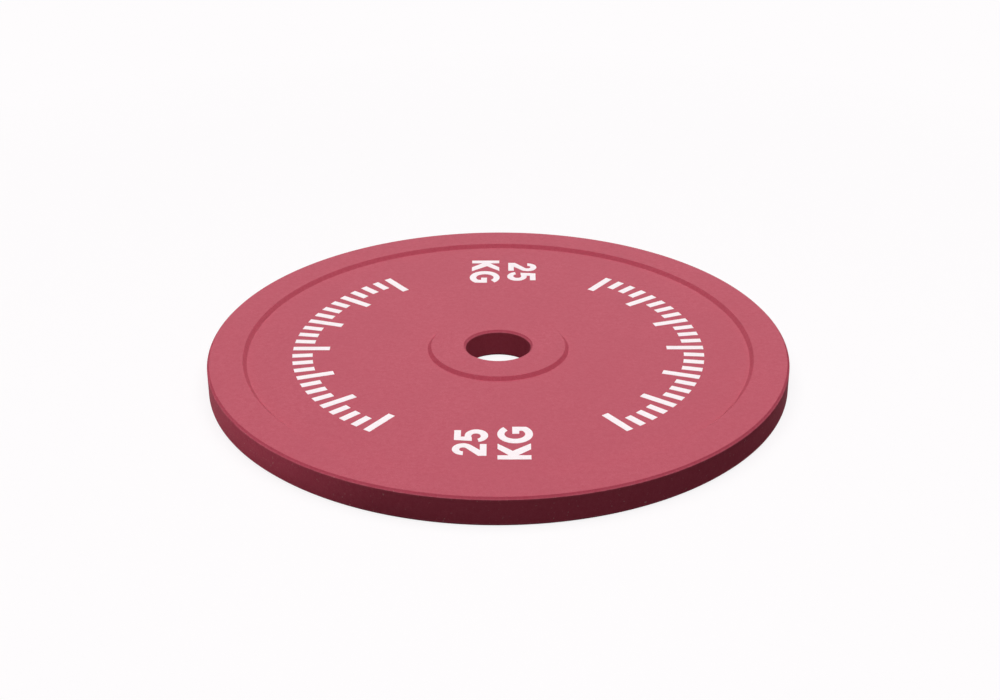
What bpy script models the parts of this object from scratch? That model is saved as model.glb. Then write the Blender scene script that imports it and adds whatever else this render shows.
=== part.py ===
"""A calibrated powerlifting plate of 25 kg.

The plate is one turned steel disc. Its front has a raised rim, a recessed web and a raised hub round the
bore, and its back is flat. Two pockets in the back hold thin discs that trim the plate to its exact weight.
A screw plug closes each pocket on a copper ring.

Lengths are in metres. The plate lies on its back: +Z is the axis of the bore and z = 0 is the back face.
"""

import math

import bmesh
import bpy
from mathutils import Vector

MM = 0.001

# The disc
PLATE_DIAMETER = 450 * MM
PLATE_THICKNESS = 22.5 * MM
EDGE_CHAMFER = 1.7 * MM
RIM_WIDTH = 27.2 * MM
RECESS_DEPTH = 3.0 * MM
WALL_SLOPE = math.radians(45)
FOOT_RADIUS = 1.0 * MM
HUB_DIAMETER = 104.6 * MM
HUB_DROP = 0.3 * MM
BORE_DIAMETER = 50.6 * MM
BORE_CHAMFER = 1.7 * MM

# The two calibration pockets
POCKET_CIRCLE_DIAMETER = 250 * MM
PLUG_SINK = 0.4 * MM
COLLAR_OVERHANG = 2.5 * MM
COLLAR_HEIGHT = 2.5 * MM
COLLAR_CHAMFER = 0.4 * MM
COUNTERBORE_CLEARANCE = 0.75 * MM
COUNTERBORE_CHAMFER = 0.5 * MM
SEALING_RING_HEIGHT = 1.2 * MM
THREAD_DIAMETER = 26 * MM
THREAD_LENGTH = 5 * MM
THREAD_CHAMFER = 0.9 * MM
KEY_FLATS = 12 * MM
KEY_DEPTH = 6 * MM
KEY_CHAMFER = 0.6 * MM
TRIM_DISC_INSET = 1 * MM
TRIM_DISC_HEIGHTS = {"thick": 1.5 * MM, "medium": 1.0 * MM, "thin": 0.5 * MM}
SEAT_GAP = 0.3 * MM

# How finely round forms are divided
PLATE_STEPS = 160
POCKET_STEPS = 48
FOOT_STEPS = 2
SHARP_ANGLE = math.radians(20)

PAINT_RED = (0.53, 0.075, 0.105)
ZINC_GREY = (0.46, 0.47, 0.48)
COPPER = (0.72, 0.33, 0.19)
TRIM_GREY = (0.33, 0.34, 0.36)

# Worked out from the sizes above
thread_radius = THREAD_DIAMETER / 2
collar_radius = thread_radius + COLLAR_OVERHANG
trim_radius = thread_radius - TRIM_DISC_INSET
collar_top = PLUG_SINK + COLLAR_HEIGHT
ring_bottom = collar_top + SEAT_GAP
counterbore_floor = ring_bottom + SEALING_RING_HEIGHT + SEAT_GAP
plug_tip = counterbore_floor + THREAD_LENGTH
chamber_mouth = plug_tip + SEAT_GAP
chamber_floor = chamber_mouth + sum(height + SEAT_GAP for height in TRIM_DISC_HEIGHTS.values())


def clear_scene():
    for old in list(bpy.data.objects):
        bpy.data.objects.remove(old)


def new_collection(name):
    collection = bpy.data.collections.new(name)
    bpy.context.scene.collection.children.link(collection)
    return collection


def new_material(name, colour, roughness, metallic):
    material = bpy.data.materials.new(name)
    material.use_nodes = True
    shader = material.node_tree.nodes["Principled BSDF"]
    shader.inputs["Base Color"].default_value = (*colour, 1)
    shader.inputs["Roughness"].default_value = roughness
    shader.inputs["Metallic"].default_value = metallic
    return material


def filleted(before, corner, after, radius, steps):
    """The points of an arc of that radius that rounds the corner between two straight runs."""
    corner = Vector(corner)
    to_before = (Vector(before) - corner).normalized()
    to_after = (Vector(after) - corner).normalized()
    half_angle = to_before.angle(to_after) / 2
    centre = corner + (to_before + to_after).normalized() * radius / math.sin(half_angle)
    start = corner + to_before * radius / math.tan(half_angle) - centre
    end = corner + to_after * radius / math.tan(half_angle) - centre
    turn = start.angle(end)
    arc = []
    for step in range(steps + 1):
        share = step / steps
        direction = start * math.sin((1 - share) * turn) + end * math.sin(share * turn)
        arc.append(tuple(centre + direction / math.sin(turn)))
    return arc


def turned(name, profile, steps, collection, ring=False):
    """Turns a profile of (radius, height) points round Z. A ring's profile closes on itself, away from the axis."""
    mesh = bpy.data.meshes.new(name)
    points = [(radius, 0, height) for radius, height in profile]
    edges = [(index, index + 1) for index in range(len(points) - 1)]
    if ring:
        edges.append((len(points) - 1, 0))
    mesh.from_pydata(points, edges, [])
    piece = bpy.data.objects.new(name, mesh)
    collection.objects.link(piece)
    screw = piece.modifiers.new("turn", "SCREW")
    screw.steps = screw.render_steps = steps
    screw.use_merge_vertices = True
    screw.merge_threshold = 0.00001
    return piece


def cut(piece, cutter):
    """Takes the cutter's shape out of the piece."""
    boolean = piece.modifiers.new("cut", "BOOLEAN")
    boolean.operation = "DIFFERENCE"
    boolean.solver = "EXACT"
    boolean.object = cutter


def bake(piece, material):
    """Applies the modifiers, shades the round faces smooth and gives the piece its material."""
    bpy.context.view_layer.update()
    depsgraph = bpy.context.evaluated_depsgraph_get()
    mesh = bpy.data.meshes.new_from_object(piece.evaluated_get(depsgraph), depsgraph=depsgraph)
    piece.modifiers.clear()
    piece.data = mesh
    mesh.shade_smooth()
    mesh.set_sharp_from_angle(angle=SHARP_ANGLE)
    mesh.materials.clear()
    mesh.materials.append(material)


def hide_cutter(cutter):
    cutter.display_type = "WIRE"
    cutter.hide_render = True


def plate_profile():
    """The disc's section, out along the front face, down the edge, in along the back and up the bore."""
    outer = PLATE_DIAMETER / 2
    bore = BORE_DIAMETER / 2
    web_face = PLATE_THICKNESS - RECESS_DEPTH
    hub_face = PLATE_THICKNESS - HUB_DROP
    hub_edge = (HUB_DIAMETER / 2, hub_face)
    hub_foot = (hub_edge[0] + (hub_face - web_face) / math.tan(WALL_SLOPE), web_face)
    rim_edge = (outer - RIM_WIDTH, PLATE_THICKNESS)
    rim_foot = (rim_edge[0] - RECESS_DEPTH / math.tan(WALL_SLOPE), web_face)
    return [
        (bore, hub_face - BORE_CHAMFER),
        (bore + BORE_CHAMFER, hub_face),
        hub_edge,
        *filleted(hub_edge, hub_foot, rim_foot, FOOT_RADIUS, FOOT_STEPS),
        *filleted(hub_foot, rim_foot, rim_edge, FOOT_RADIUS, FOOT_STEPS),
        rim_edge,
        (outer - EDGE_CHAMFER, PLATE_THICKNESS),
        (outer, PLATE_THICKNESS - EDGE_CHAMFER),
        (outer, EDGE_CHAMFER),
        (outer - EDGE_CHAMFER, 0),
        (bore + BORE_CHAMFER, 0),
        (bore, BORE_CHAMFER),
    ]


def pocket_profile():
    """The stepped bore of a pocket: a counterbore for the collar, a threaded bore and the trim chamber."""
    counterbore = collar_radius + COUNTERBORE_CLEARANCE
    thread_bore = thread_radius + SEAT_GAP
    chamber = trim_radius + SEAT_GAP
    overcut = COLLAR_HEIGHT
    return [
        (0, chamber_floor),
        (chamber, chamber_floor),
        (chamber, chamber_mouth),
        (thread_bore, chamber_mouth),
        (thread_bore, counterbore_floor),
        (counterbore, counterbore_floor),
        (counterbore, COUNTERBORE_CHAMFER),
        (counterbore + COUNTERBORE_CHAMFER + overcut, -overcut),
        (0, -overcut),
    ]


def plug_profile():
    """A screw plug: the threaded shank, plain here at its outer diameter, and the collar below it."""
    return [
        (0, plug_tip),
        (thread_radius - THREAD_CHAMFER, plug_tip),
        (thread_radius, plug_tip - THREAD_CHAMFER),
        (thread_radius, collar_top),
        (collar_radius - COLLAR_CHAMFER, collar_top),
        (collar_radius, collar_top - COLLAR_CHAMFER),
        (collar_radius, PLUG_SINK + COLLAR_CHAMFER),
        (collar_radius - COLLAR_CHAMFER, PLUG_SINK),
        (0, PLUG_SINK),
    ]


def ring_profile():
    """A flat sealing ring round the shank, as wide as the collar."""
    inner = thread_radius + SEAT_GAP
    top = ring_bottom + SEALING_RING_HEIGHT
    return [(inner, top), (collar_radius, top), (collar_radius, ring_bottom), (inner, ring_bottom)]


def disc_profile(bottom, height):
    return [(0, bottom + height), (trim_radius, bottom + height), (trim_radius, bottom), (0, bottom)]


def key_socket_cutters(collection):
    """A hexagonal bore for the key, and the cut cone that breaks its edge and runs out inside its flats."""
    corner_radius = KEY_FLATS / 2 / math.cos(math.pi / 6)
    mouth_radius = corner_radius + KEY_CHAMFER
    inner_radius = KEY_FLATS / 2 - KEY_CHAMFER
    overcut = COLLAR_HEIGHT
    mesh = bpy.data.meshes.new("key_bore")
    shape = bmesh.new()
    bmesh.ops.create_cone(
        shape,
        cap_ends=True,
        segments=6,
        radius1=corner_radius,
        radius2=corner_radius,
        depth=KEY_DEPTH + overcut,
    )
    shape.to_mesh(mesh)
    shape.free()
    bore = bpy.data.objects.new("key_bore", mesh)
    bore.location.z = PLUG_SINK + (KEY_DEPTH - overcut) / 2
    collection.objects.link(bore)
    profile = [
        (0, PLUG_SINK + mouth_radius - inner_radius),
        (inner_radius, PLUG_SINK + mouth_radius - inner_radius),
        (mouth_radius + overcut, PLUG_SINK - overcut),
        (0, PLUG_SINK - overcut),
    ]
    mouth = turned("key_bore_mouth", profile, POCKET_STEPS, collection)
    return [bore, mouth]


def make_plug(material, collection, cutters):
    plug = turned("calibration_plug_left", plug_profile(), POCKET_STEPS, collection)
    for cutter in key_socket_cutters(cutters):
        cut(plug, cutter)
        hide_cutter(cutter)
    bake(plug, material)
    return plug


def make_sealing_ring(material, collection):
    ring = turned("sealing_ring_left", ring_profile(), POCKET_STEPS, collection, ring=True)
    bake(ring, material)
    return ring


def make_trim_discs(material, collection):
    """The stack that fills the chamber, the thickest disc next to the plug."""
    discs = []
    bottom = chamber_mouth
    for size, height in TRIM_DISC_HEIGHTS.items():
        disc = turned(f"trim_disc_left_{size}", disc_profile(bottom, height), POCKET_STEPS, collection)
        bake(disc, material)
        discs.append(disc)
        bottom += height + SEAT_GAP
    return discs


def pocket_axes(collection):
    """An empty on the axis of each pocket, on opposite sides of the bore."""
    axes = {}
    for side, turn in (("left", math.pi), ("right", 0)):
        axis = bpy.data.objects.new(f"pocket_axis_{side}", None)
        axis.location = (POCKET_CIRCLE_DIAMETER / 2 * math.cos(turn), 0, 0)
        axis.rotation_euler.z = turn
        axis.empty_display_size = THREAD_DIAMETER
        collection.objects.link(axis)
        axes[side] = axis
    return axes


def place_pocket_pieces(pieces, axes, collection):
    """Puts the left pieces on their axis, and a copy of each, with the same mesh, on the right."""
    for piece in pieces:
        twin = piece.copy()
        twin.name = piece.name.replace("left", "right")
        collection.objects.link(twin)
        piece.parent = axes["left"]
        twin.parent = axes["right"]


def make_disc(material, axes, collection, cutters):
    disc = turned("plate_disc", plate_profile(), PLATE_STEPS, collection, ring=True)
    for side, axis in axes.items():
        pocket = turned(f"pocket_{side}", pocket_profile(), POCKET_STEPS, cutters)
        pocket.parent = axis
        cut(disc, pocket)
        hide_cutter(pocket)
    bake(disc, material)
    return disc


def build_plate():
    clear_scene()
    collection = new_collection("calibrated_plate")
    cutters = new_collection("cutters")
    paint = new_material("red_paint", PAINT_RED, roughness=0.55, metallic=0)
    zinc = new_material("zinc_plated_steel", ZINC_GREY, roughness=0.35, metallic=1)
    copper = new_material("copper", COPPER, roughness=0.4, metallic=1)
    steel = new_material("trim_steel", TRIM_GREY, roughness=0.45, metallic=1)

    axes = pocket_axes(collection)
    make_disc(paint, axes, collection, cutters)
    pieces = [
        make_plug(zinc, collection, cutters),
        make_sealing_ring(copper, collection),
        *make_trim_discs(steel, collection),
    ]
    place_pocket_pieces(pieces, axes, collection)


build_plate()
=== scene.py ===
"""The looks of a 25 kg calibrated powerlifting plate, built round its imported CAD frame.

Lengths are in metres. The plate lies on its back: +Z is the bore's axis and z = 0 is the back face.
"""

import math

import bmesh
import bpy
from mathutils import Matrix, Vector


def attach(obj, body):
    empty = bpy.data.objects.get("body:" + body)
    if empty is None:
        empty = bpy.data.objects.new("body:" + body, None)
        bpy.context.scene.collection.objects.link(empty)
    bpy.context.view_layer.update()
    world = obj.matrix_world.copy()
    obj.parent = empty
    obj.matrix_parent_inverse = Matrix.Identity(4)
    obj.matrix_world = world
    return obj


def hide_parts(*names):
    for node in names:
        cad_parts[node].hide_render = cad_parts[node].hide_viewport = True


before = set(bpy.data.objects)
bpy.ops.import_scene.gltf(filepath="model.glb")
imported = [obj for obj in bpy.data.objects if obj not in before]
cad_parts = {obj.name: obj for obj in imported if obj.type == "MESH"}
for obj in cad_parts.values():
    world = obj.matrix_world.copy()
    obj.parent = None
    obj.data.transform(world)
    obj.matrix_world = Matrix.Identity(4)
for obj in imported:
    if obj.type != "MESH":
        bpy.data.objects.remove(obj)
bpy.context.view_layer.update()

MM = 0.001

# The disc, in the sizes of its solid
PLATE_RADIUS = 225 * MM
RIM_FACE = 22.5 * MM
WEB_FACE = 19.5 * MM
HUB_FACE = 22.2 * MM
EDGE_CHAMFER = 1.7 * MM
RIM_EDGE_RADIUS = 197.8 * MM
RIM_FOOT_RADIUS = 194.8 * MM
HUB_FOOT_RADIUS = 55.0 * MM
HUB_EDGE_RADIUS = 52.3 * MM
BORE_RADIUS = 25.3 * MM
FOOT_FILLET = 1.0 * MM
PAINTED_FILLET = 0.45 * MM

# The two pockets and what they hold
POCKET_DISTANCE = 125 * MM
COUNTERBORE_RADIUS = 16.25 * MM
COUNTERBORE_FLOOR = 4.7 * MM
COUNTERBORE_CHAMFER = 0.5 * MM
THREAD_BORE_RADIUS = 13.3 * MM
CHAMBER_RADIUS = 12.3 * MM
CHAMBER_MOUTH = 10.0 * MM
CHAMBER_FLOOR = 13.9 * MM
OVERCUT = 2.5 * MM
PLUG_SINK = 0.4 * MM
PLUG_TIP = 9.7 * MM
COLLAR_RADIUS = 15.5 * MM
COLLAR_TOP = 2.9 * MM
COLLAR_CHAMFER = 0.4 * MM
KEY_FLATS = 12 * MM
KEY_DEPTH = 6 * MM
KEY_CHAMFER = 0.6 * MM
HEXAGON_SIDES = 6
RING_BOTTOM = 3.2 * MM
RING_TOP = 4.4 * MM
RING_INNER_RADIUS = 13.3 * MM
TRIM_DISC_RADIUS = 12 * MM
TRIM_DISCS = {
    "thick": (10.0 * MM, 11.5 * MM),
    "medium": (11.8 * MM, 12.8 * MM),
    "thin": (13.1 * MM, 13.6 * MM),
}
METAL_FILLET = 0.15 * MM

# The plugs' right-hand thread, with its section as (share of the pitch, radius)
THREAD_PITCH = 1.5 * MM
THREAD_CREST_RADIUS = 13.0 * MM
THREAD_ROOT_RADIUS = 12.19 * MM
THREAD_ROWS = (
    (0.0, THREAD_ROOT_RADIUS),
    (0.25, THREAD_ROOT_RADIUS),
    (0.5625, THREAD_CREST_RADIUS),
    (0.6875, THREAD_CREST_RADIUS),
)
THREAD_RELIEF = 0.6 * MM
THREAD_LEAD_TURNS = 1
THREAD_SPARE_TURNS = 2

# The pockets' own thread: a ridge in the middle of the plug's groove, its length and run-out in turns
GROOVE_MIDDLE = 0.125
RIDGE_CREST_RADIUS = 12.4 * MM
RIDGE_BASE_RADIUS = 13.45 * MM
RIDGE_CREST_HALF = 0.18 * MM
RIDGE_BASE_HALF = 0.70 * MM
RIDGE_TURNS = (2.62, 5.05)
RIDGE_RUN_OUT = 0.15
RIDGE_LEAST_SHARE = 0.05

# The painted marks: strokes in millimetres, and the scales' reach and spacing in degrees
PAINT_SUNK = 0.05 * MM
PAINT_PROUD = 0.12 * MM
PRINT_CENTRE = (0.21 * MM, -1.20 * MM)
FIGURE_TWO = [
    (0, 0),
    (16.1, 0),
    (16.1, 4.7),
    (7.85, 4.7),
    (9.2, 16.5, 8.05, 7.7, -42, 180),
    (8.9, 16.4, 2.75, 2.7, 180, -42),
    (0, 5.8),
]
FIGURE_FIVE = [
    (2.55, 23.2),
    (1.15, 10.5),
    (7.8, 7.7, 3.9, 3.4, 120, -160),
    (8.5, 7.4, 8.85, 8.3, -169, 90),
    (7.2, 15.7),
    (7.2, 18.4),
    (16.35, 18.4),
    (16.35, 23.2),
]
LETTER_K = [
    (0, 0),
    (5.65, 0),
    (5.65, 9.2),
    (13.95, 0),
    (21.95, 0),
    (11.6, 12.9),
    (21.75, 23.5),
    (14.45, 23.5),
    (5.65, 15.6),
    (5.65, 23.5),
    (0, 23.5),
]
LETTER_G = [
    (23.3, 13.4),
    (13.3, 13.4),
    (13.3, 8.4),
    (17.6, 8.4),
    (12.9, 11.6, 6.8, 7.4, -46, -316),
    (12.9, 11.4, 13.1, 12.7, 41, 322),
]
WEIGHT_MARK = [
    (FIGURE_TWO, -163.85, 8.47),
    (FIGURE_FIVE, -144.33, 8.35),
    (LETTER_K, -168.94, -22.77),
    (LETTER_G, -146.57, -23.15),
]
SCALE_INNER_RADIUS = 131.5 * MM
SCALE_OUTER_RADIUS = 160 * MM
SCALE_REACH = 54
SCALE_SPACING = 4.5
SCALE_LONG_EVERY = 4
SCALE_BAR_HALF = 2.9 * MM
SCALE_SHORT = 0.55

# How finely round forms are divided, with the step of a mark's arc in degrees
PLATE_STEPS = 288
POCKET_STEPS = 96
FILLET_STEPS = 4
ARC_STEP = 5
SHARP_ANGLE = math.radians(32)
TINY = 0.001 * MM

# The photograph's view: the camera faces the middle of the back face, and is moved across and up
CAMERA_ELEVATION = math.radians(27.02)
CAMERA_DISTANCE = 1331.47 * MM
CAMERA_ACROSS = 1.37 * MM
CAMERA_UP = 15.89 * MM
CAMERA_ROLL = math.radians(-0.145)
CAMERA_LENS = 60.93
CAMERA_SENSOR = 36
CAMERA_CLIP_END = 100

# Materials: a noise is (size, detail, roughness), and a range is (low, high, new low, new high)
WHOLE_RANGE = (0.3, 0.7, 0, 1)
MIX_COLOUR_INPUTS = (6, 7)
MIX_COLOUR_OUTPUT = 2

# The red powder coat
COAT_SPECULAR = 0.025
COAT_GRAIN = (0.7 * MM, 2, 0.6)
COAT_MOTTLE = (3 * MM, 4, 0.8)
COAT_CLOUDS = (55 * MM, 3, 0.55)
COAT_RUB_AND_HIGHLIGHT = (4 * MM, 4, 0.65)
COAT_PEEL = (2.4 * MM, 1, 0.5)
COAT_DUST = (1.7 * MM, 1, 0.4)
COAT_DARK = (0.483, 0.058, 0.098)
COAT_LIGHT = (0.556, 0.098, 0.144)
COAT_GRAIN_COLOUR = (0.44, 0.050, 0.086)
COAT_CLOUD_COLOUR = (0.47, 0.064, 0.103)
# The lighter colour on the outer and bore corners is partly wear and partly a painted highlight
COAT_WORN_AND_HIGHLIGHT_COLOUR = (0.68, 0.15, 0.21)
COAT_DUST_COLOUR = (0.74, 0.50, 0.50)
COAT_GRAIN_TO_SHARE = (0.35, 0.65, 0.5, 0)
COAT_CLOUDS_TO_SHARE = (0.35, 0.65, 0, 0.35)
COAT_WORN_AND_HIGHLIGHT_REACH = 1.2 * MM
COAT_RUB_TO_WORN_AND_HIGHLIGHT = (0.42, 0.62, 0.35, 1)
COAT_WORN_AND_HIGHLIGHT_SHARE = 0.6
COAT_RADIUS_TO_SIDE = (PLATE_RADIUS - 0.6 * MM, PLATE_RADIUS - 0.2 * MM, 0, 1)
COAT_DUST_TO_SPECKS = (0.70, 0.78, 0, 1)
COAT_DUST_SHARE = 0.3
COAT_GRAIN_TO_ROUGHNESS = (0.3, 0.7, 0.60, 0.72)
COAT_WORN_POLISH = 0.12
COAT_PEEL_DEPTH = 0.03 * MM
COAT_GRAIN_DEPTH = 0.12 * MM

# The white print
INK_SPECULAR = 0.05
INK_GRAIN = (0.9 * MM, 3, 0.6)
INK_CLOUDS = (12 * MM, 2, 0.5)
INK_THIN = (0.86, 0.72, 0.755)
INK_FULL = (0.94, 0.855, 0.88)
INK_CLOUD_COLOUR = (0.90, 0.79, 0.815)
INK_GRAIN_TO_SHARE = (0.25, 0.6, 0, 1)
INK_CLOUDS_TO_SHARE = (0.4, 0.7, 0, 0.3)
INK_GRAIN_TO_ROUGHNESS = (0.3, 0.7, 0.46, 0.6)
INK_GRAIN_DEPTH = 0.03 * MM

# Turned metals, each as (dark, light, stained, size of the marks, roughness)
ZINC_PLATE = ((0.40, 0.41, 0.42), (0.54, 0.55, 0.56), (0.50, 0.49, 0.42), 0.25 * MM, 0.33)
ANNEALED_COPPER = ((0.62, 0.27, 0.15), (0.80, 0.39, 0.24), (0.45, 0.20, 0.12), 0.4 * MM, 0.38)
MACHINED_STEEL = ((0.32, 0.32, 0.33), (0.45, 0.45, 0.46), (0.30, 0.27, 0.24), 0.2 * MM, 0.36)
METAL_MARKS_DETAIL = 3
METAL_MARKS_ROUGHNESS = 0.7
METAL_STAINS = (5 * MM, 4, 0.6)
METAL_GRAIN = (0.35 * MM, 2, 0.5)
METAL_STAINS_TO_SHARE = (0.45, 0.72, 0, 0.6)
METAL_UNEVEN_RANGE = (0.7, 1.3)
METAL_SMOOTHER = 0.07
METAL_ROUGHER = 0.1
METAL_GRAIN_DEPTH = 0.008 * MM
METAL_MARKS_DEPTH = 0.02 * MM

# The trim discs' punched sheet steel
SHEET_STRETCH = (1, 14, 14)
SHEET_ROLLED = (2.5 * MM, 4, 0.6)
SHEET_STAINS = (6 * MM, 3, 0.5)
SHEET_DARK = (0.27, 0.28, 0.30)
SHEET_LIGHT = (0.40, 0.41, 0.43)
SHEET_STAIN_COLOUR = (0.25, 0.23, 0.20)
SHEET_STAINS_TO_SHARE = (0.5, 0.7, 0, 0.6)
SHEET_ROLLED_TO_ROUGHNESS = (0.3, 0.7, 0.38, 0.52)
SHEET_ROLLED_DEPTH = 0.012 * MM

# The floor, the background and the lamps
FLOOR_REACH = 9
FLOOR_HOLE_RADIUS = 222.5 * MM
BORE_FLOOR_RADIUS = 27.5 * MM
FLOOR_HEIGHT = -0.05 * MM
FLOOR_GRAIN = (30 * MM, 2, 0.5)
FLOOR_GRAIN_TO_GLOW = (0, 1, 0.998, 1.002)
BACKGROUND = (0.991, 0.973, 0.982)
SHADOW_SHARE = 0.15
BARE_FLOOR_LEVEL = 0.9
SHADOW_REACH = (0.42, 0.85)
FLOOR_BOUNCE_DARK = (0.04, 0.038, 0.038)
FLOOR_BOUNCE_BRIGHT = (0.80, 0.78, 0.78)
FLOOR_BOUNCE_EDGE = (-0.09, -0.215)
AMBIENT = 0.005
SOFTBOX_SIZE = 2.8
SOFTBOX_PLACE = (0, -0.24, 2.4)
SOFTBOX_RADIANCE = 3.04
CARD_SIZE = 2.2
CARD_PLACE = (0, 1.21, 1.73)
CARD_RADIANCE = 24.6
LOWER_LAMP_SIZE = 0.44
LOWER_LAMP_PLACE = (0, 0, -0.4)
LOWER_LAMP_RADIANCE = 4.3


# Making shapes


def filleted(before, corner, after, radius):
    """The points of an arc of that radius that rounds the corner between two straight runs."""
    to_before = (before - corner).normalized()
    to_after = (after - corner).normalized()
    half_angle = to_before.angle(to_after) / 2
    centre = corner + (to_before + to_after).normalized() * radius / math.sin(half_angle)
    start = corner + to_before * radius / math.tan(half_angle) - centre
    end = corner + to_after * radius / math.tan(half_angle) - centre
    turn = start.angle(end)
    arc = []
    for step in range(FILLET_STEPS + 1):
        share = step / FILLET_STEPS
        direction = start * math.sin((1 - share) * turn) + end * math.sin(share * turn)
        arc.append(tuple(centre + direction / math.sin(turn)))
    return arc


def rounded(corners):
    """Profile points of corners, each (radius, height) or, to round it, (radius, height, fillet)."""
    points = []
    for index, corner in enumerate(corners):
        if len(corner) == 2:
            points.append(corner)
            continue
        before = Vector(corners[index - 1][:2])
        after = Vector(corners[(index + 1) % len(corners)][:2])
        points += filleted(before, Vector(corner[:2]), after, corner[2])
    return points


def add_turned(shape, points, steps, closed=False):
    """Turns a profile of (radius, height) points round Z. A point on the axis becomes one vertex."""
    rings = []
    for radius, height in points:
        if radius < TINY:
            rings.append([shape.verts.new((0, 0, height))] * steps)
            continue
        ring = []
        for step in range(steps):
            angle = 2 * math.pi * step / steps
            ring.append(shape.verts.new((radius * math.cos(angle), radius * math.sin(angle), height)))
        rings.append(ring)
    if closed:
        rings.append(rings[0])
    for lower, upper in zip(rings, rings[1:]):
        for step in range(steps):
            following = (step + 1) % steps
            corners = [lower[step], lower[following], upper[following], upper[step]]
            shape.faces.new(list(dict.fromkeys(corners)))


def finished(name, shape):
    """An object of the shape, with its faces turned outwards, shaded smooth up to its sharp edges."""
    bmesh.ops.recalc_face_normals(shape, faces=shape.faces)
    mesh = bpy.data.meshes.new(name)
    shape.to_mesh(mesh)
    shape.free()
    mesh.shade_smooth()
    mesh.set_sharp_from_angle(angle=SHARP_ANGLE)
    piece = bpy.data.objects.new(name, mesh)
    bpy.context.scene.collection.objects.link(piece)
    return piece


def turned(name, points, steps, closed=False):
    """An object turned round Z from a profile of (radius, height) points."""
    shape = bmesh.new()
    add_turned(shape, points, steps, closed)
    return finished(name, shape)


def taken_mesh(piece):
    """The mesh of an object that was made for it alone and goes."""
    mesh = piece.data
    bpy.data.objects.remove(piece)
    return mesh


def merge_close_points(mesh):
    """Merges points that a cut has left on top of each other."""
    shape = bmesh.new()
    shape.from_mesh(mesh)
    bmesh.ops.remove_doubles(shape, verts=shape.verts, dist=TINY)
    shape.to_mesh(mesh)
    shape.free()


def cut_away(piece, cutters):
    """Takes the cutters' shapes out of the piece, and the cutters out of the scene."""
    for cutter in cutters:
        boolean = piece.modifiers.new("cut", "BOOLEAN")
        boolean.operation = "DIFFERENCE"
        boolean.solver = "EXACT"
        boolean.object = cutter
    bpy.context.view_layer.update()
    depsgraph = bpy.context.evaluated_depsgraph_get()
    mesh = bpy.data.meshes.new_from_object(piece.evaluated_get(depsgraph), depsgraph=depsgraph)
    piece.modifiers.clear()
    merge_close_points(mesh)
    piece.data = mesh
    mesh.shade_smooth()
    mesh.set_sharp_from_angle(angle=SHARP_ANGLE)
    for cutter in cutters:
        bpy.data.objects.remove(cutter)


def even_shading(piece):
    """Keeps flat faces evenly shaded up to their rounded edges."""
    normals = piece.modifiers.new("even_shading", "WEIGHTED_NORMAL")
    normals.keep_sharp = True


def keep(piece, material, body, nodes=()):
    """Gives the piece its material, the body that it rides on and the nodes it stands for."""
    piece.data.materials.clear()
    piece.data.materials.append(material)
    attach(piece, body)
    if nodes:
        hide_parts(*nodes)


# The disc


def plate_corners():
    """The disc's section: out along the front, down the side, in along the back and up the bore."""
    soft = PAINTED_FILLET
    return [
        (BORE_RADIUS, HUB_FACE - EDGE_CHAMFER, soft),
        (BORE_RADIUS + EDGE_CHAMFER, HUB_FACE, soft),
        (HUB_EDGE_RADIUS, HUB_FACE, soft),
        (HUB_FOOT_RADIUS, WEB_FACE, FOOT_FILLET),
        (RIM_FOOT_RADIUS, WEB_FACE, FOOT_FILLET),
        (RIM_EDGE_RADIUS, RIM_FACE, soft),
        (PLATE_RADIUS - EDGE_CHAMFER, RIM_FACE, soft),
        (PLATE_RADIUS, RIM_FACE - EDGE_CHAMFER, soft),
        (PLATE_RADIUS, EDGE_CHAMFER, soft),
        (PLATE_RADIUS - EDGE_CHAMFER, 0, soft),
        (BORE_RADIUS + EDGE_CHAMFER, 0, soft),
        (BORE_RADIUS, EDGE_CHAMFER, soft),
    ]


def pocket_points():
    """The steps of a pocket: a counterbore for the collar, a bore for the thread and a trim chamber."""
    return [
        (0, CHAMBER_FLOOR),
        (CHAMBER_RADIUS, CHAMBER_FLOOR),
        (CHAMBER_RADIUS, CHAMBER_MOUTH),
        (THREAD_BORE_RADIUS, CHAMBER_MOUTH),
        (THREAD_BORE_RADIUS, COUNTERBORE_FLOOR),
        (COUNTERBORE_RADIUS, COUNTERBORE_FLOOR),
        (COUNTERBORE_RADIUS, COUNTERBORE_CHAMFER),
        (COUNTERBORE_RADIUS + COUNTERBORE_CHAMFER + OVERCUT, -OVERCUT),
        (0, -OVERCUT),
    ]


def on_pocket_axis(piece, side):
    """Moves a piece made round Z to the axis of the left or right pocket."""
    sign = {"left": -1, "right": 1}[side]
    piece.location.x = sign * POCKET_DISTANCE
    piece.rotation_euler.z = 0 if sign > 0 else math.pi


def make_plate(paint):
    """The painted disc, with both pockets cut into its back."""
    plate = turned("plate_body", rounded(plate_corners()), PLATE_STEPS, closed=True)
    pockets = []
    for side in ("left", "right"):
        pocket = turned(f"pocket_{side}", pocket_points(), POCKET_STEPS)
        on_pocket_axis(pocket, side)
        pockets.append(pocket)
    cut_away(plate, pockets)
    even_shading(plate)
    keep(plate, paint, "plate", ["plate_disc"])


# What the pockets hold


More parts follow.
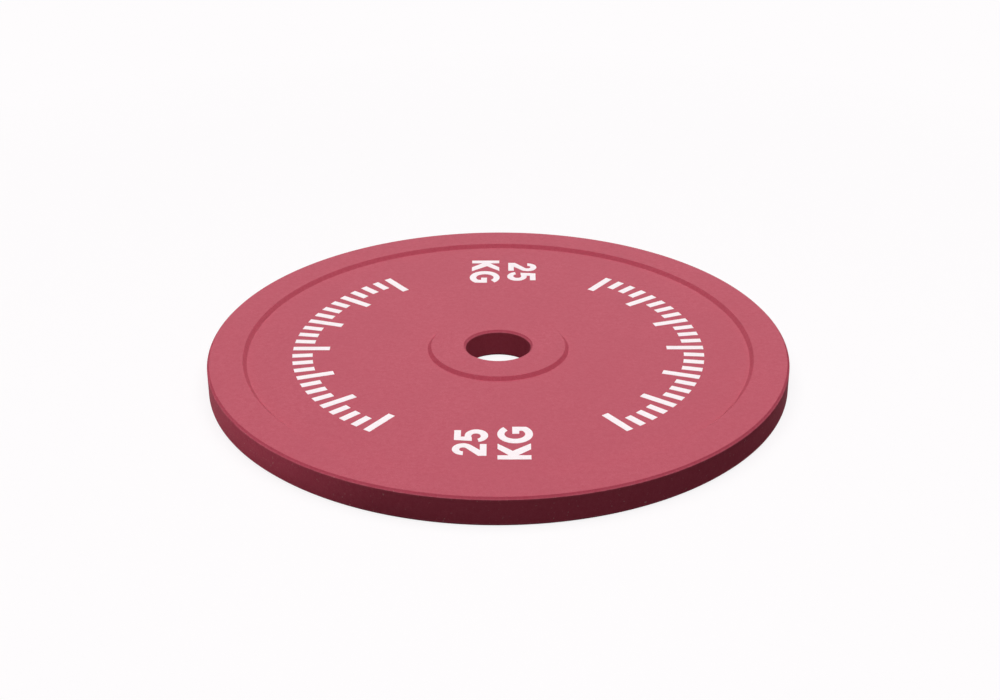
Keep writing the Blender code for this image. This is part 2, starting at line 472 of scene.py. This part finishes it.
def add_thread(shape, low, high, steps):
    """A right-hand thread between two heights, which ends at each in a ring of its root radius."""
    row_count = len(THREAD_ROWS)
    turn_count = math.ceil((high - low) / THREAD_PITCH) + THREAD_SPARE_TURNS
    columns = []
    for step in range(steps):
        column = []
        for row in range(turn_count * row_count):
            share, radius = THREAD_ROWS[row % row_count]
            turns = row // row_count + share + step / steps - THREAD_LEAD_TURNS
            height = low + THREAD_PITCH * turns
            height = min(max(height, low), high)
            limit = THREAD_ROOT_RADIUS + max(0, min(height - low - THREAD_RELIEF, high - height))
            angle = 2 * math.pi * step / steps
            radius = min(radius, limit)
            column.append(shape.verts.new((radius * math.cos(angle), radius * math.sin(angle), height)))
        columns.append(column)
    for step in range(steps):
        here = columns[step]
        following = columns[(step + 1) % steps]
        if step == steps - 1:
            following = following[row_count:]
        for row in range(len(following) - 1):
            shape.faces.new((here[row], following[row], following[row + 1], here[row + 1]))


def key_socket():
    """The key's hexagonal bore, and the cut cone that breaks its edge and runs out inside its flats."""
    corner_radius = KEY_FLATS / 2 / math.cos(math.pi / HEXAGON_SIDES)
    mouth_radius = corner_radius + KEY_CHAMFER
    inner_radius = KEY_FLATS / 2 - KEY_CHAMFER
    inner_height = PLUG_SINK + mouth_radius - inner_radius
    bore = [
        (0, PLUG_SINK + KEY_DEPTH),
        (corner_radius, PLUG_SINK + KEY_DEPTH),
        (corner_radius, -OVERCUT),
        (0, -OVERCUT),
    ]
    mouth = [
        (0, inner_height),
        (inner_radius, inner_height),
        (mouth_radius + PLUG_SINK + OVERCUT, -OVERCUT),
        (0, -OVERCUT),
    ]
    return [turned("key_bore", bore, HEXAGON_SIDES), turned("key_bore_mouth", mouth, POCKET_STEPS)]


def make_plug_mesh():
    """A screw plug: the threaded shank, the collar below it and the socket in its face."""
    shape = bmesh.new()
    add_thread(shape, COLLAR_TOP, PLUG_TIP, POCKET_STEPS)
    add_turned(shape, [(THREAD_ROOT_RADIUS, PLUG_TIP), (0, PLUG_TIP)], POCKET_STEPS)
    collar = [
        (THREAD_ROOT_RADIUS, COLLAR_TOP),
        (COLLAR_RADIUS, COLLAR_TOP, METAL_FILLET),
        (COLLAR_RADIUS, PLUG_SINK + COLLAR_CHAMFER, METAL_FILLET),
        (COLLAR_RADIUS - COLLAR_CHAMFER, PLUG_SINK, METAL_FILLET),
        (0, PLUG_SINK),
    ]
    add_turned(shape, rounded(collar), POCKET_STEPS)
    bmesh.ops.remove_doubles(shape, verts=shape.verts, dist=TINY)
    plug = finished("screw_plug", shape)
    cut_away(plug, key_socket())
    return taken_mesh(plug)


def make_pocket_thread_mesh():
    """The ridge of the pocket's thread, which runs in the plug's groove and fades at both ends."""
    shape = bmesh.new()
    first, last = RIDGE_TURNS
    count = round((last - first) * POCKET_STEPS)
    sections = []
    for step in range(count + 1):
        turns = first + (last - first) * step / count
        fade = min(1, (turns - first) / RIDGE_RUN_OUT, (last - turns) / RIDGE_RUN_OUT)
        depth = (THREAD_BORE_RADIUS - RIDGE_CREST_RADIUS) * max(fade, RIDGE_LEAST_SHARE)
        crest = THREAD_BORE_RADIUS - depth
        middle = COLLAR_TOP + THREAD_PITCH * (turns - THREAD_LEAD_TURNS + GROOVE_MIDDLE)
        angle = 2 * math.pi * turns
        section = []
        for radius, offset in (
            (RIDGE_BASE_RADIUS, -RIDGE_BASE_HALF),
            (crest, -RIDGE_CREST_HALF),
            (crest, RIDGE_CREST_HALF),
            (RIDGE_BASE_RADIUS, RIDGE_BASE_HALF),
        ):
            point = (radius * math.cos(angle), radius * math.sin(angle), middle + offset)
            section.append(shape.verts.new(point))
        sections.append(section)
    for here, following in zip(sections, sections[1:]):
        for corner in range(len(here)):
            after = (corner + 1) % len(here)
            shape.faces.new((here[corner], here[after], following[after], following[corner]))
    shape.faces.new(sections[0])
    shape.faces.new(sections[-1])
    return taken_mesh(finished("pocket_thread", shape))


def turned_mesh(name, corners, closed=False):
    """The mesh of a small turned piece with those corners."""
    return taken_mesh(turned(name, rounded(corners), POCKET_STEPS, closed))


def make_ring_mesh():
    """The flat sealing ring."""
    corners = [
        (RING_INNER_RADIUS, RING_TOP, METAL_FILLET),
        (COLLAR_RADIUS, RING_TOP, METAL_FILLET),
        (COLLAR_RADIUS, RING_BOTTOM, METAL_FILLET),
        (RING_INNER_RADIUS, RING_BOTTOM, METAL_FILLET),
    ]
    return turned_mesh("sealing_ring", corners, closed=True)


def make_trim_disc_mesh(size):
    """A trim disc of one of the three thicknesses."""
    bottom, top = TRIM_DISCS[size]
    corners = [
        (0, top),
        (TRIM_DISC_RADIUS, top, METAL_FILLET),
        (TRIM_DISC_RADIUS, bottom, METAL_FILLET),
        (0, bottom),
    ]
    return turned_mesh(f"trim_disc_{size}", corners)


def place_pocket_piece(name, side, mesh, material, body, nodes=()):
    """A piece of one pocket, with its origin on the pocket's axis. Both pockets share the meshes."""
    piece = bpy.data.objects.new(name, mesh)
    bpy.context.scene.collection.objects.link(piece)
    on_pocket_axis(piece, side)
    even_shading(piece)
    keep(piece, material, body, nodes)


def make_pocket_pieces(zinc, copper, steel, bare_steel):
    """What each pocket holds: a plug, its ring, the pocket's own thread and three trim discs."""
    plug_mesh = make_plug_mesh()
    ring_mesh = make_ring_mesh()
    ridge_mesh = make_pocket_thread_mesh()
    disc_meshes = {size: make_trim_disc_mesh(size) for size in TRIM_DISCS}
    for side in ("left", "right"):
        plug_node = f"calibration_plug_{side}"
        ring_node = f"sealing_ring_{side}"
        plug_body = f"plug_{side}"
        place_pocket_piece(
            f"screw_plug_{side}", side, plug_mesh, zinc, plug_body, [plug_node]
        )
        place_pocket_piece(
            f"copper_ring_{side}", side, ring_mesh, copper, f"seal_{side}", [ring_node]
        )
        place_pocket_piece(
            f"pocket_thread_{side}", side, ridge_mesh, bare_steel, "plate"
        )
        for size, disc_mesh in disc_meshes.items():
            disc_node = f"trim_disc_{side}_{size}"
            place_pocket_piece(
                f"trim_weight_{side}_{size}", side, disc_mesh, steel, "plate", [disc_node]
            )


# Painting the marks


def outline(path):
    """The points of a path. Its arcs are (centre x, centre y, radius x, radius y, from, to)."""
    points = []
    for item in path:
        if len(item) == 2:
            points.append(item)
            continue
        centre_x, centre_y, radius_x, radius_y, start, end = item
        count = max(2, round(abs(end - start) / ARC_STEP))
        for step in range(count + 1):
            angle = math.radians(start + (end - start) * step / count)
            x = centre_x + radius_x * math.cos(angle)
            y = centre_y + radius_y * math.sin(angle)
            points.append((x, y))
    return points


def add_painted(shape, points):
    """A thin coat of paint on the web face, with that outline."""
    lower = [shape.verts.new((x, y, WEB_FACE - PAINT_SUNK)) for x, y in points]
    upper = [shape.verts.new((x, y, WEB_FACE + PAINT_PROUD)) for x, y in points]
    shape.faces.new(upper)
    shape.faces.new(list(reversed(lower)))
    for index in range(len(points)):
        after = (index + 1) % len(points)
        shape.faces.new((lower[index], lower[after], upper[after], upper[index]))


def make_weight_mark(name, direction, paint):
    """The weight and its unit. Their tops point to the plate's left, or with direction -1 to its right."""
    shape = bmesh.new()
    centre_x, centre_y = PRINT_CENTRE
    for path, along, above in WEIGHT_MARK:
        points = []
        for x, y in outline(path):
            across = -direction * (above + y) * MM
            away = direction * (along + x) * MM
            points.append((centre_x + across, centre_y + away))
        add_painted(shape, points)
    mark = finished(name, shape)
    keep(mark, paint, "plate")


def make_scale(name, middle, paint):
    """A plain graduated scale of radial bars, a long one at every fourth place."""
    shape = bmesh.new()
    count = round(SCALE_REACH / SCALE_SPACING)
    height = SCALE_OUTER_RADIUS - SCALE_INNER_RADIUS
    for bar in range(-count, count + 1):
        angle = math.radians(middle + bar * SCALE_SPACING)
        is_long = bar % SCALE_LONG_EVERY == 0
        outer = SCALE_OUTER_RADIUS
        inner = outer - (height if is_long else height * SCALE_SHORT)
        along = Vector((math.cos(angle), math.sin(angle)))
        across = Vector((-along.y, along.x)) * SCALE_BAR_HALF
        corners = (
            along * inner - across,
            along * outer - across,
            along * outer + across,
            along * inner + across,
        )
        add_painted(shape, [tuple(corner) for corner in corners])
    scale = finished(name, shape)
    keep(scale, paint, "plate")


# Building materials


def node(material, kind, inputs=None, **settings):
    """A new node of the material. Each input is linked to a socket or set to a value."""
    made = material.node_tree.nodes.new(kind)
    for key, value in settings.items():
        setattr(made, key, value)
    for key, value in (inputs or {}).items():
        if isinstance(value, bpy.types.NodeSocket):
            material.node_tree.links.new(value, made.inputs[key])
        else:
            made.inputs[key].default_value = value
    return made


def new_material(name, **values):
    """A material whose shader has these values, such as specular or metallic, on its own sockets."""
    material = bpy.data.materials.new(name)
    material.use_nodes = True
    shader = material.node_tree.nodes["Principled BSDF"]
    for key, value in values.items():
        socket = {"specular": "Specular IOR Level"}.get(key, key.title())
        shader.inputs[socket].default_value = value
    return material, shader


def link(material, output, target):
    """Links an output socket to an input socket of the same material."""
    material.node_tree.links.new(output, target)


def place(material):
    """The place on the piece, in metres from its own origin."""
    return node(material, "ShaderNodeTexCoord").outputs["Object"]


def noise(material, where, size, detail, roughness):
    """Noise with features of about that size."""
    made = node(
        material,
        "ShaderNodeTexNoise",
        {"Vector": where, "Scale": 1 / size, "Detail": detail, "Roughness": roughness},
    )
    return made.outputs["Fac"]


def remapped(material, value, low, high, new_low, new_high):
    """The value taken from one range to another, and held at its ends."""
    made = node(
        material,
        "ShaderNodeMapRange",
        {"Value": value, "From Min": low, "From Max": high, "To Min": new_low, "To Max": new_high},
    )
    return made.outputs["Result"]


def math_node(material, operation, first, second):
    """The result of an operation on two values, which are numbers or sockets."""
    made = node(material, "ShaderNodeMath", {0: first, 1: second}, operation=operation)
    return made.outputs["Value"]


def blended(material, factor, first, second):
    """A colour between two, which are colours or sockets."""
    made = node(material, "ShaderNodeMix", {"Factor": factor}, data_type="RGBA")
    for index, colour in zip(MIX_COLOUR_INPUTS, (first, second)):
        if isinstance(colour, bpy.types.NodeSocket):
            link(material, colour, made.inputs[index])
        else:
            made.inputs[index].default_value = (*colour, 1)
    return made.outputs[MIX_COLOUR_OUTPUT]


def bumped(material, height, depth, under=None):
    """A bumped normal from a height between 0 and 1, over another one if given."""
    inputs = {"Height": height, "Distance": depth}
    if under:
        inputs["Normal"] = under
    return node(material, "ShaderNodeBump", inputs).outputs["Normal"]


def radius_and_height(material, where):
    """The distance from the piece's own Z axis, and the height, for marks that run round it."""
    flat = node(material, "ShaderNodeVectorMath", {0: where, 1: (1, 1, 0)}, operation="MULTIPLY")
    length = node(material, "ShaderNodeVectorMath", {0: flat.outputs["Vector"]}, operation="LENGTH")
    parts = node(material, "ShaderNodeSeparateXYZ", {"Vector": where})
    made = node(
        material, "ShaderNodeCombineXYZ", {"X": length.outputs["Value"], "Z": parts.outputs["Z"]}
    )
    return made.outputs["Vector"]


def nearness_to_edges(material, section, edges, reach):
    """1 on the given edges of a turned piece, falling to 0 at that reach from them."""
    nearest = None
    for radius, height in edges:
        gap = node(
            material, "ShaderNodeVectorMath", {0: section, 1: (radius, 0, height)}, operation="DISTANCE"
        ).outputs["Value"]
        nearest = gap if nearest is None else math_node(material, "MINIMUM", nearest, gap)
    return remapped(material, nearest, 0, reach, 1, 0)


def powder_coat():
    """Matt red powder coat: a fine grain, a soft mottle, corners made lighter as wear and as a painted
    highlight, and a little dust on the side.
    """
    material, shader = new_material("red_powder_coat", specular=COAT_SPECULAR)
    where = place(material)
    section = radius_and_height(material, where)
    corners = [
        (PLATE_RADIUS, RIM_FACE - EDGE_CHAMFER),
        (PLATE_RADIUS, EDGE_CHAMFER),
        (BORE_RADIUS, HUB_FACE - EDGE_CHAMFER),
    ]
    grain = noise(material, where, *COAT_GRAIN)
    mottle = noise(material, where, *COAT_MOTTLE)
    clouds = noise(material, where, *COAT_CLOUDS)
    rub_and_highlight = remapped(material, noise(material, where, *COAT_RUB_AND_HIGHLIGHT), *COAT_RUB_TO_WORN_AND_HIGHLIGHT)
    peel = noise(material, where, *COAT_PEEL)
    # Corners lighter in colour, partly as wear and partly as a painted highlight, and smoother as wear
    corner = nearness_to_edges(material, section, corners, COAT_WORN_AND_HIGHLIGHT_REACH)
    worn_and_highlight = math_node(material, "MULTIPLY", corner, rub_and_highlight)
    radius = node(material, "ShaderNodeSeparateXYZ", {"Vector": section}).outputs["X"]
    on_side = remapped(material, radius, *COAT_RADIUS_TO_SIDE)
    dust = remapped(material, noise(material, where, *COAT_DUST), *COAT_DUST_TO_SPECKS)
    specks = math_node(material, "MULTIPLY", on_side, dust)

    colour = blended(material, remapped(material, mottle, *WHOLE_RANGE), COAT_DARK, COAT_LIGHT)
    for share, layer_colour in (
        (remapped(material, grain, *COAT_GRAIN_TO_SHARE), COAT_GRAIN_COLOUR),
        (remapped(material, clouds, *COAT_CLOUDS_TO_SHARE), COAT_CLOUD_COLOUR),
        (math_node(material, "MULTIPLY", worn_and_highlight, COAT_WORN_AND_HIGHLIGHT_SHARE), COAT_WORN_AND_HIGHLIGHT_COLOUR),
        (math_node(material, "MULTIPLY", specks, COAT_DUST_SHARE), COAT_DUST_COLOUR),
    ):
        colour = blended(material, share, colour, layer_colour)
    link(material, colour, shader.inputs["Base Color"])

    rough = remapped(material, grain, *COAT_GRAIN_TO_ROUGHNESS)
    polish = math_node(material, "MULTIPLY", worn_and_highlight, COAT_WORN_POLISH)
    link(material, math_node(material, "SUBTRACT", rough, polish), shader.inputs["Roughness"])

    waves = bumped(material, peel, COAT_PEEL_DEPTH)
    link(material, bumped(material, grain, COAT_GRAIN_DEPTH, under=waves), shader.inputs["Normal"])
    return material


def white_print():
    """Flat white screen-print ink over the powder coat, whose grain shows through it."""
    material, shader = new_material("white_print", specular=INK_SPECULAR)
    where = place(material)
    grain = noise(material, where, *INK_GRAIN)
    clouds = noise(material, where, *INK_CLOUDS)
    colour = blended(material, remapped(material, grain, *INK_GRAIN_TO_SHARE), INK_THIN, INK_FULL)
    cloud_share = remapped(material, clouds, *INK_CLOUDS_TO_SHARE)
    colour = blended(material, cloud_share, colour, INK_CLOUD_COLOUR)
    link(material, colour, shader.inputs["Base Color"])
    link(material, remapped(material, grain, *INK_GRAIN_TO_ROUGHNESS), shader.inputs["Roughness"])
    link(material, bumped(material, grain, INK_GRAIN_DEPTH), shader.inputs["Normal"])
    return material


def turned_metal(name, dark, light, stained, mark_size, rough):
    """Turned metal: fine marks that run round the axis, and soft stains of a second tint."""
    material, shader = new_material(name, metallic=1.0)
    where = place(material)
    section = radius_and_height(material, where)
    marks = noise(material, section, mark_size, METAL_MARKS_DETAIL, METAL_MARKS_ROUGHNESS)
    stains = noise(material, where, *METAL_STAINS)
    grain = noise(material, where, *METAL_GRAIN)
    colour = blended(material, remapped(material, marks, *WHOLE_RANGE), dark, light)
    colour = blended(material, remapped(material, stains, *METAL_STAINS_TO_SHARE), colour, stained)
    link(material, colour, shader.inputs["Base Color"])
    uneven = math_node(material, "ADD", marks, stains)
    spread = (rough - METAL_SMOOTHER, rough + METAL_ROUGHER)
    link(material, remapped(material, uneven, *METAL_UNEVEN_RANGE, *spread), shader.inputs["Roughness"])
    fine = bumped(material, grain, METAL_GRAIN_DEPTH)
    link(material, bumped(material, marks, METAL_MARKS_DEPTH, under=fine), shader.inputs["Normal"])
    return material


def punched_steel():
    """Plain sheet steel, with the long fine marks of its rolling and light oil stains."""
    material, shader = new_material("punched_steel", metallic=1.0)
    where = place(material)
    stretched = node(
        material, "ShaderNodeVectorMath", {0: where, 1: SHEET_STRETCH}, operation="MULTIPLY"
    ).outputs["Vector"]
    rolled = noise(material, stretched, *SHEET_ROLLED)
    stains = noise(material, where, *SHEET_STAINS)
    colour = blended(material, remapped(material, rolled, *WHOLE_RANGE), SHEET_DARK, SHEET_LIGHT)
    stain_share = remapped(material, stains, *SHEET_STAINS_TO_SHARE)
    colour = blended(material, stain_share, colour, SHEET_STAIN_COLOUR)
    link(material, colour, shader.inputs["Base Color"])
    link(material, remapped(material, rolled, *SHEET_ROLLED_TO_ROUGHNESS), shader.inputs["Roughness"])
    link(material, bumped(material, rolled, SHEET_ROLLED_DEPTH), shader.inputs["Normal"])
    return material


# The stage


def seen_directly(material_or_world):
    """1 for a ray from the camera or from a shiny or clear surface, and 0 for any other."""
    path = node(material_or_world, "ShaderNodeLightPath")
    seen = path.outputs["Is Camera Ray"]
    for name in ("Is Glossy Ray", "Is Transmission Ray"):
        seen = math_node(material_or_world, "MAXIMUM", seen, path.outputs[name])
    return seen


def floor_material():
    """Nearly white to look at, with the object's shadow. It throws light back mostly on the left."""
    material = bpy.data.materials.new("pale_floor")
    material.use_nodes = True
    material.node_tree.nodes.clear()
    where = place(material)
    distance = node(material, "ShaderNodeVectorMath", {0: where}, operation="LENGTH").outputs["Value"]
    grain = remapped(material, noise(material, where, *FLOOR_GRAIN), *FLOOR_GRAIN_TO_GLOW)
    shadow_share = remapped(material, distance, *SHADOW_REACH, SHADOW_SHARE, 0)
    lit_share = math_node(material, "MULTIPLY", shadow_share, BARE_FLOOR_LEVEL)
    glow_share = math_node(material, "SUBTRACT", 1, lit_share)
    uneven = math_node(material, "MULTIPLY", glow_share, grain)
    glow = node(material, "ShaderNodeEmission", {"Color": (*BACKGROUND, 1), "Strength": uneven})
    shaded_colour = blended(material, shadow_share, (0, 0, 0), BACKGROUND)
    shaded = node(material, "ShaderNodeBsdfDiffuse", {"Color": shaded_colour})
    looks = node(material, "ShaderNodeAddShader", {0: glow.outputs[0], 1: shaded.outputs[0]})

    across = node(material, "ShaderNodeSeparateXYZ", {"Vector": where}).outputs["X"]
    leftness = remapped(material, across, *FLOOR_BOUNCE_EDGE, 0, 1)
    bounce_colour = blended(material, leftness, FLOOR_BOUNCE_DARK, FLOOR_BOUNCE_BRIGHT)
    bounce = node(material, "ShaderNodeBsdfDiffuse", {"Color": bounce_colour})
    sides = {0: seen_directly(material), 1: bounce.outputs[0], 2: looks.outputs[0]}
    top = node(material, "ShaderNodeMixShader", sides)
    behind = node(material, "ShaderNodeNewGeometry").outputs["Backfacing"]
    clear = node(material, "ShaderNodeBsdfTransparent")
    both = node(material, "ShaderNodeMixShader", {0: behind, 1: top.outputs[0], 2: clear.outputs[0]})
    node(material, "ShaderNodeOutputMaterial", {"Surface": both.outputs[0]})
    return material


def make_floor():
    """A floor open below the plate's back, so that light from below reaches the back alone."""
    shape = bmesh.new()
    add_turned(shape, [(FLOOR_HOLE_RADIUS, FLOOR_HEIGHT), (FLOOR_REACH, FLOOR_HEIGHT)], PLATE_STEPS)
    add_turned(shape, [(0, FLOOR_HEIGHT), (BORE_FLOOR_RADIUS, FLOOR_HEIGHT)], POCKET_STEPS)
    bmesh.ops.recalc_face_normals(shape, faces=shape.faces)
    for face in shape.faces:
        if face.normal.z < 0:
            face.normal_flip()
    mesh = bpy.data.meshes.new("floor")
    shape.to_mesh(mesh)
    shape.free()
    floor = bpy.data.objects.new("floor", mesh)
    bpy.context.scene.collection.objects.link(floor)
    mesh.materials.append(floor_material())


def make_world():
    """White to look at, and dim as a light."""
    world = bpy.data.worlds.new("studio")
    world.use_nodes = True
    world.node_tree.nodes.clear()
    bpy.context.scene.world = world
    ambient = node(world, "ShaderNodeBackground", {"Color": (1, 1, 1, 1), "Strength": AMBIENT})
    background = node(world, "ShaderNodeBackground", {"Color": (*BACKGROUND, 1), "Strength": 1})
    both = node(
        world,
        "ShaderNodeMixShader",
        {0: seen_directly(world), 1: ambient.outputs[0], 2: background.outputs[0]},
    )
    node(world, "ShaderNodeOutputWorld", {"Surface": both.outputs[0]})


def make_lamp(name, shape, size, place_in_room, radiance):
    """An area lamp that faces the plate and isn't itself in the picture."""
    lamp = bpy.data.lights.new(name, "AREA")
    lamp.shape = shape
    lamp.size = size
    area = size * size if shape == "SQUARE" else math.pi * size * size / 4
    lamp.energy = radiance * math.pi * area
    holder = bpy.data.objects.new(name, lamp)
    holder.location = place_in_room
    towards_plate = -Vector(place_in_room)
    holder.rotation_euler = towards_plate.to_track_quat("-Z", "Y").to_euler()
    holder.visible_camera = False
    bpy.context.scene.collection.objects.link(holder)
    return holder


def make_camera():
    """The camera at the photograph's place."""
    back = Vector((0, -math.cos(CAMERA_ELEVATION), math.sin(CAMERA_ELEVATION)))
    level = Vector((1, 0, 0))
    above = back.cross(level)
    right = level * math.cos(CAMERA_ROLL) + above * math.sin(CAMERA_ROLL)
    up = above * math.cos(CAMERA_ROLL) - level * math.sin(CAMERA_ROLL)
    position = back * CAMERA_DISTANCE + level * CAMERA_ACROSS + above * CAMERA_UP
    data = bpy.data.cameras.new("camera")
    data.sensor_width = CAMERA_SENSOR
    data.lens = CAMERA_LENS
    data.clip_end = CAMERA_CLIP_END
    camera = bpy.data.objects.new("camera", data)
    camera.matrix_world = Matrix.Translation(position) @ Matrix((right, up, back)).transposed().to_4x4()
    bpy.context.scene.collection.objects.link(camera)
    bpy.context.scene.camera = camera


make_camera()
make_plate(powder_coat())
ink = white_print()
make_weight_mark("weight_mark_near", 1, ink)
make_weight_mark("weight_mark_far", -1, ink)
make_scale("scale_left", 180, ink)
make_scale("scale_right", 0, ink)
zinc_plate = turned_metal("zinc_plate", *ZINC_PLATE)
annealed_copper = turned_metal("annealed_copper", *ANNEALED_COPPER)
machined_steel = turned_metal("machined_steel", *MACHINED_STEEL)
make_pocket_pieces(zinc_plate, annealed_copper, punched_steel(), machined_steel)
make_floor()
make_world()
make_lamp("softbox", "SQUARE", SOFTBOX_SIZE, SOFTBOX_PLACE, SOFTBOX_RADIANCE)
lower_lamp = make_lamp("lower_lamp", "DISK", LOWER_LAMP_SIZE, LOWER_LAMP_PLACE, LOWER_LAMP_RADIANCE)
lower_lamp.visible_glossy = False
card = make_lamp("card", "SQUARE", CARD_SIZE, CARD_PLACE, CARD_RADIANCE)
card.visible_diffuse = False
bpy.context.scene.view_settings.view_transform = "Standard"
